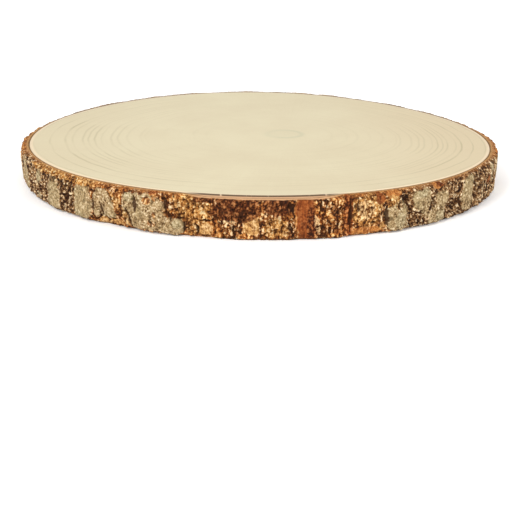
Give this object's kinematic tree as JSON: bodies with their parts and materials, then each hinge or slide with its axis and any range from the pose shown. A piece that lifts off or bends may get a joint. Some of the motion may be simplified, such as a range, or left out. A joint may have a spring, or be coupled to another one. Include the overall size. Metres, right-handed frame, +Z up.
{
  "type": "wood slice",
  "caption": "Round slice sawn across a small tree trunk: a flat, pale, ringed wood face inside a rim of rough, cracked bark.",
  "frame": {"origin": "the middle of the slice's box, on the plane of its lower sawn face", "axes": "+Z up through the thickness, along the trunk's length; -Y towards the side that faces the picture's camera"},
  "size_m": [0.2758, 0.2768, 0.021],
  "materials": {
    "wood": "bare sanded pale wood with faint growth rings",
    "bark": "rough dry bark, grey-tan crust over orange-brown inner bark"
  },
  "bodies": {
    "root": {"wood": "wood", "bark": "bark"}
  },
  "joints": []
}
